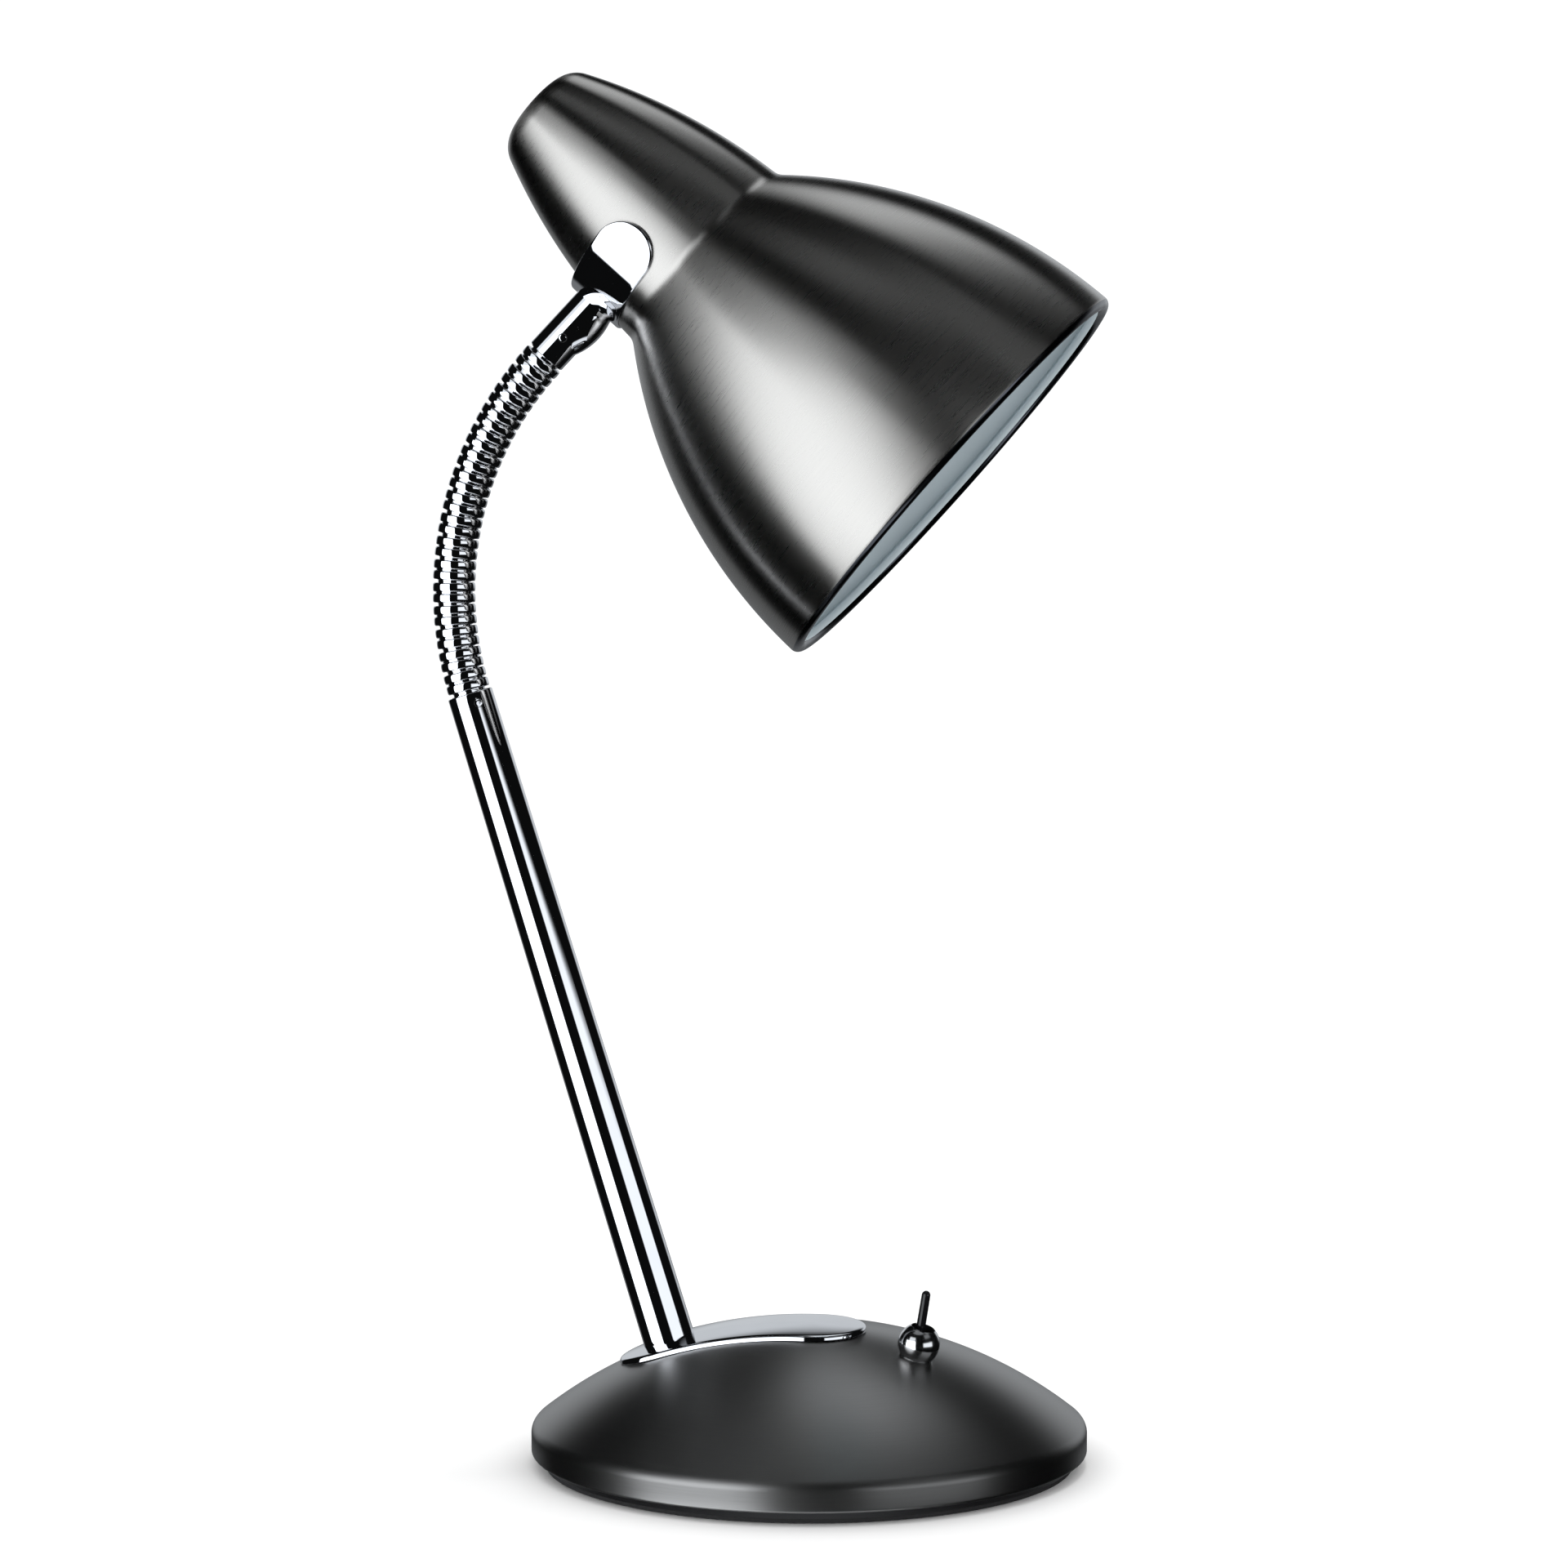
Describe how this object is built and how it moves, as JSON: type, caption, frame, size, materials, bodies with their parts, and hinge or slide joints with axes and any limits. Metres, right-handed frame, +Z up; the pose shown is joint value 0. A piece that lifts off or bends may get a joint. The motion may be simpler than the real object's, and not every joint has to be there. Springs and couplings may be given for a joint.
{
  "type": "gooseneck desk lamp",
  "caption": "Desk lamp with a weighted dome base, leaning tube stem, short flexible gooseneck and a large spun bell shade, with a toggle switch on the base.",
  "frame": {"origin": "centre of the base pad's underside, on the surface the lamp stands on", "axes": "+Z up; the stem leans towards -X and the shade opens towards +X and down; the lamp is symmetrical about Y = 0 apart from its switch, saddle plate, grub screws and cable inlet"},
  "size_m": [0.1937, 0.16, 0.3984],
  "materials": {
    "base_metal": "brushed dark grey, satin",
    "shade_metal": "brushed dark grey outside, pale paint inside",
    "chrome": "polished",
    "cast_iron": "rough",
    "black_steel": "black, satin",
    "pad_rubber": "matt",
    "plated_steel": "zinc plated",
    "brass": "plain",
    "black_plastic": "gloss",
    "gland_rubber": "matt",
    "white_plastic": "gloss",
    "lead_jacket": "matt",
    "bulb_metal": "plain",
    "bulb_glass": "opal"
  },
  "bodies": {
    "base": {"base_shell": "base_metal", "base_weight": "cast_iron", "base_plate": "black_steel", "base_pad": "pad_rubber", "base_posts": "plated_steel", "plate_screws": "plated_steel", "saddle_plate": "chrome", "stem_tube": "chrome", "stem_nipple": "brass", "stem_washer": "plated_steel", "stem_nut": "plated_steel", "switch_body": "black_plastic", "switch_bushing": "plated_steel", "switch_nut": "plated_steel", "switch_collar": "chrome", "switch_terminals": "brass", "cable_gland": "gland_rubber", "terminal_block": "white_plastic", "base_lead": "lead_jacket", "stem_lead": "lead_jacket", "gooseneck_plug": "chrome", "lower_grub_screw": "plated_steel", "gooseneck_lead": "lead_jacket"},
    "lever": {"switch_lever": "black_plastic"},
    "segment_01": {"coil_01": "chrome"},
    "segment_02": {"coil_02": "chrome"},
    "segment_03": {"coil_03": "chrome"},
    "segment_04": {"coil_04": "chrome"},
    "segment_05": {"coil_05": "chrome"},
    "segment_06": {"coil_06": "chrome"},
    "segment_07": {"coil_07": "chrome"},
    "segment_08": {"coil_08": "chrome"},
    "segment_09": {"coil_09": "chrome"},
    "segment_10": {"coil_10": "chrome"},
    "segment_11": {"coil_11": "chrome"},
    "segment_12": {"coil_12": "chrome"},
    "segment_13": {"coil_13": "chrome"},
    "segment_14": {"coil_14": "chrome"},
    "segment_15": {"coil_15": "chrome"},
    "head": {"coil_16": "chrome", "upper_ferrule": "chrome", "upper_grub_screw": "plated_steel", "neck_saddle": "chrome", "neck_spacer": "plated_steel", "neck_nipple": "brass", "neck_seat": "plated_steel", "neck_nut": "plated_steel", "shade_shell": "shade_metal", "holder_plate": "plated_steel", "holder_nipple": "brass", "holder_nut": "plated_steel", "holder_body": "white_plastic", "holder_shell": "brass", "holder_contact": "brass", "bulb_cap": "bulb_metal", "bulb_globe": "bulb_glass", "head_lead": "lead_jacket"}
  },
  "joints": [
    {"name": "switch_toggle", "type": "hinge", "parent": "base", "child": "lever", "pos_m": [0.03261, -0.01591, 0.03515], "axis": [0.4384, 0.8988, 0], "range_deg": [0, 12]},
    {"name": "bend_1", "type": "hinge", "parent": "base", "child": "segment_01", "pos_m": [-0.09876, 0, 0.22138], "axis": [0, 1, 0], "range_deg": [-11, 3.5], "deforming": ["gooseneck_lead"]},
    {"name": "side_1", "type": "hinge", "parent": "segment_01", "child": "segment_02", "pos_m": [-0.10046, 0, 0.22759], "axis": [0.9728, 0, 0.2317], "range_deg": [-7, 7]},
    {"name": "bend_2", "type": "hinge", "parent": "segment_02", "child": "segment_03", "pos_m": [-0.10174, 0, 0.2339], "axis": [0, 1, 0], "range_deg": [-11, 3.5]},
    {"name": "side_2", "type": "hinge", "parent": "segment_03", "child": "segment_04", "pos_m": [-0.10261, 0, 0.24028], "axis": [0.9949, 0, 0.1011], "range_deg": [-7, 7]},
    {"name": "bend_3", "type": "hinge", "parent": "segment_04", "child": "segment_05", "pos_m": [-0.10304, 0, 0.24671], "axis": [0, 1, 0], "range_deg": [-11, 3.5]},
    {"name": "side_3", "type": "hinge", "parent": "segment_05", "child": "segment_06", "pos_m": [-0.10305, 0, 0.25315], "axis": [0.9995, 0, -0.0314], "range_deg": [-7, 7]},
    {"name": "bend_4", "type": "hinge", "parent": "segment_06", "child": "segment_07", "pos_m": [-0.10264, 0, 0.25958], "axis": [0, 1, 0], "range_deg": [-11, 3.5]},
    {"name": "side_4", "type": "hinge", "parent": "segment_07", "child": "segment_08", "pos_m": [-0.1018, 0, 0.26596], "axis": [0.9866, 0, -0.1633], "range_deg": [-7, 7]},
    {"name": "bend_5", "type": "hinge", "parent": "segment_08", "child": "segment_09", "pos_m": [-0.10054, 0, 0.27228], "axis": [0, 1, 0], "range_deg": [-11, 3.5]},
    {"name": "side_5", "type": "hinge", "parent": "segment_09", "child": "segment_10", "pos_m": [-0.09886, 0, 0.27849], "axis": [0.9563, 0, -0.2924], "range_deg": [-7, 7]},
    {"name": "bend_6", "type": "hinge", "parent": "segment_10", "child": "segment_11", "pos_m": [-0.09677, 0, 0.28459], "axis": [0, 1, 0], "range_deg": [-11, 3.5]},
    {"name": "side_6", "type": "hinge", "parent": "segment_11", "child": "segment_12", "pos_m": [-0.09429, 0, 0.29053], "axis": [0.9092, 0, -0.4163], "range_deg": [-7, 7]},
    {"name": "bend_7", "type": "hinge", "parent": "segment_12", "child": "segment_13", "pos_m": [-0.09141, 0, 0.29629], "axis": [0, 1, 0], "range_deg": [-11, 3.5]},
    {"name": "side_7", "type": "hinge", "parent": "segment_13", "child": "segment_14", "pos_m": [-0.08816, 0, 0.30185], "axis": [0.8462, 0, -0.5329], "range_deg": [-7, 7]},
    {"name": "bend_8", "type": "hinge", "parent": "segment_14", "child": "segment_15", "pos_m": [-0.08455, 0, 0.30718], "axis": [0, 1, 0], "range_deg": [-11, 3.5]},
    {"name": "side_8", "type": "hinge", "parent": "segment_15", "child": "head", "pos_m": [-0.0806, 0, 0.31227], "axis": [0.7683, 0, -0.6401], "range_deg": [-7, 7]}
  ],
  "couplings": [
    {"joint": "bend_2", "follows": "bend_1", "ratio": 1},
    {"joint": "side_2", "follows": "side_1", "ratio": 1},
    {"joint": "bend_3", "follows": "bend_1", "ratio": 1},
    {"joint": "side_3", "follows": "side_1", "ratio": 1},
    {"joint": "bend_4", "follows": "bend_1", "ratio": 1},
    {"joint": "side_4", "follows": "side_1", "ratio": 1},
    {"joint": "bend_5", "follows": "bend_1", "ratio": 1},
    {"joint": "side_5", "follows": "side_1", "ratio": 1},
    {"joint": "bend_6", "follows": "bend_1", "ratio": 1},
    {"joint": "side_6", "follows": "side_1", "ratio": 1},
    {"joint": "bend_7", "follows": "bend_1", "ratio": 1},
    {"joint": "side_7", "follows": "side_1", "ratio": 1},
    {"joint": "bend_8", "follows": "bend_1", "ratio": 1},
    {"joint": "side_8", "follows": "side_1", "ratio": 1}
  ]
}
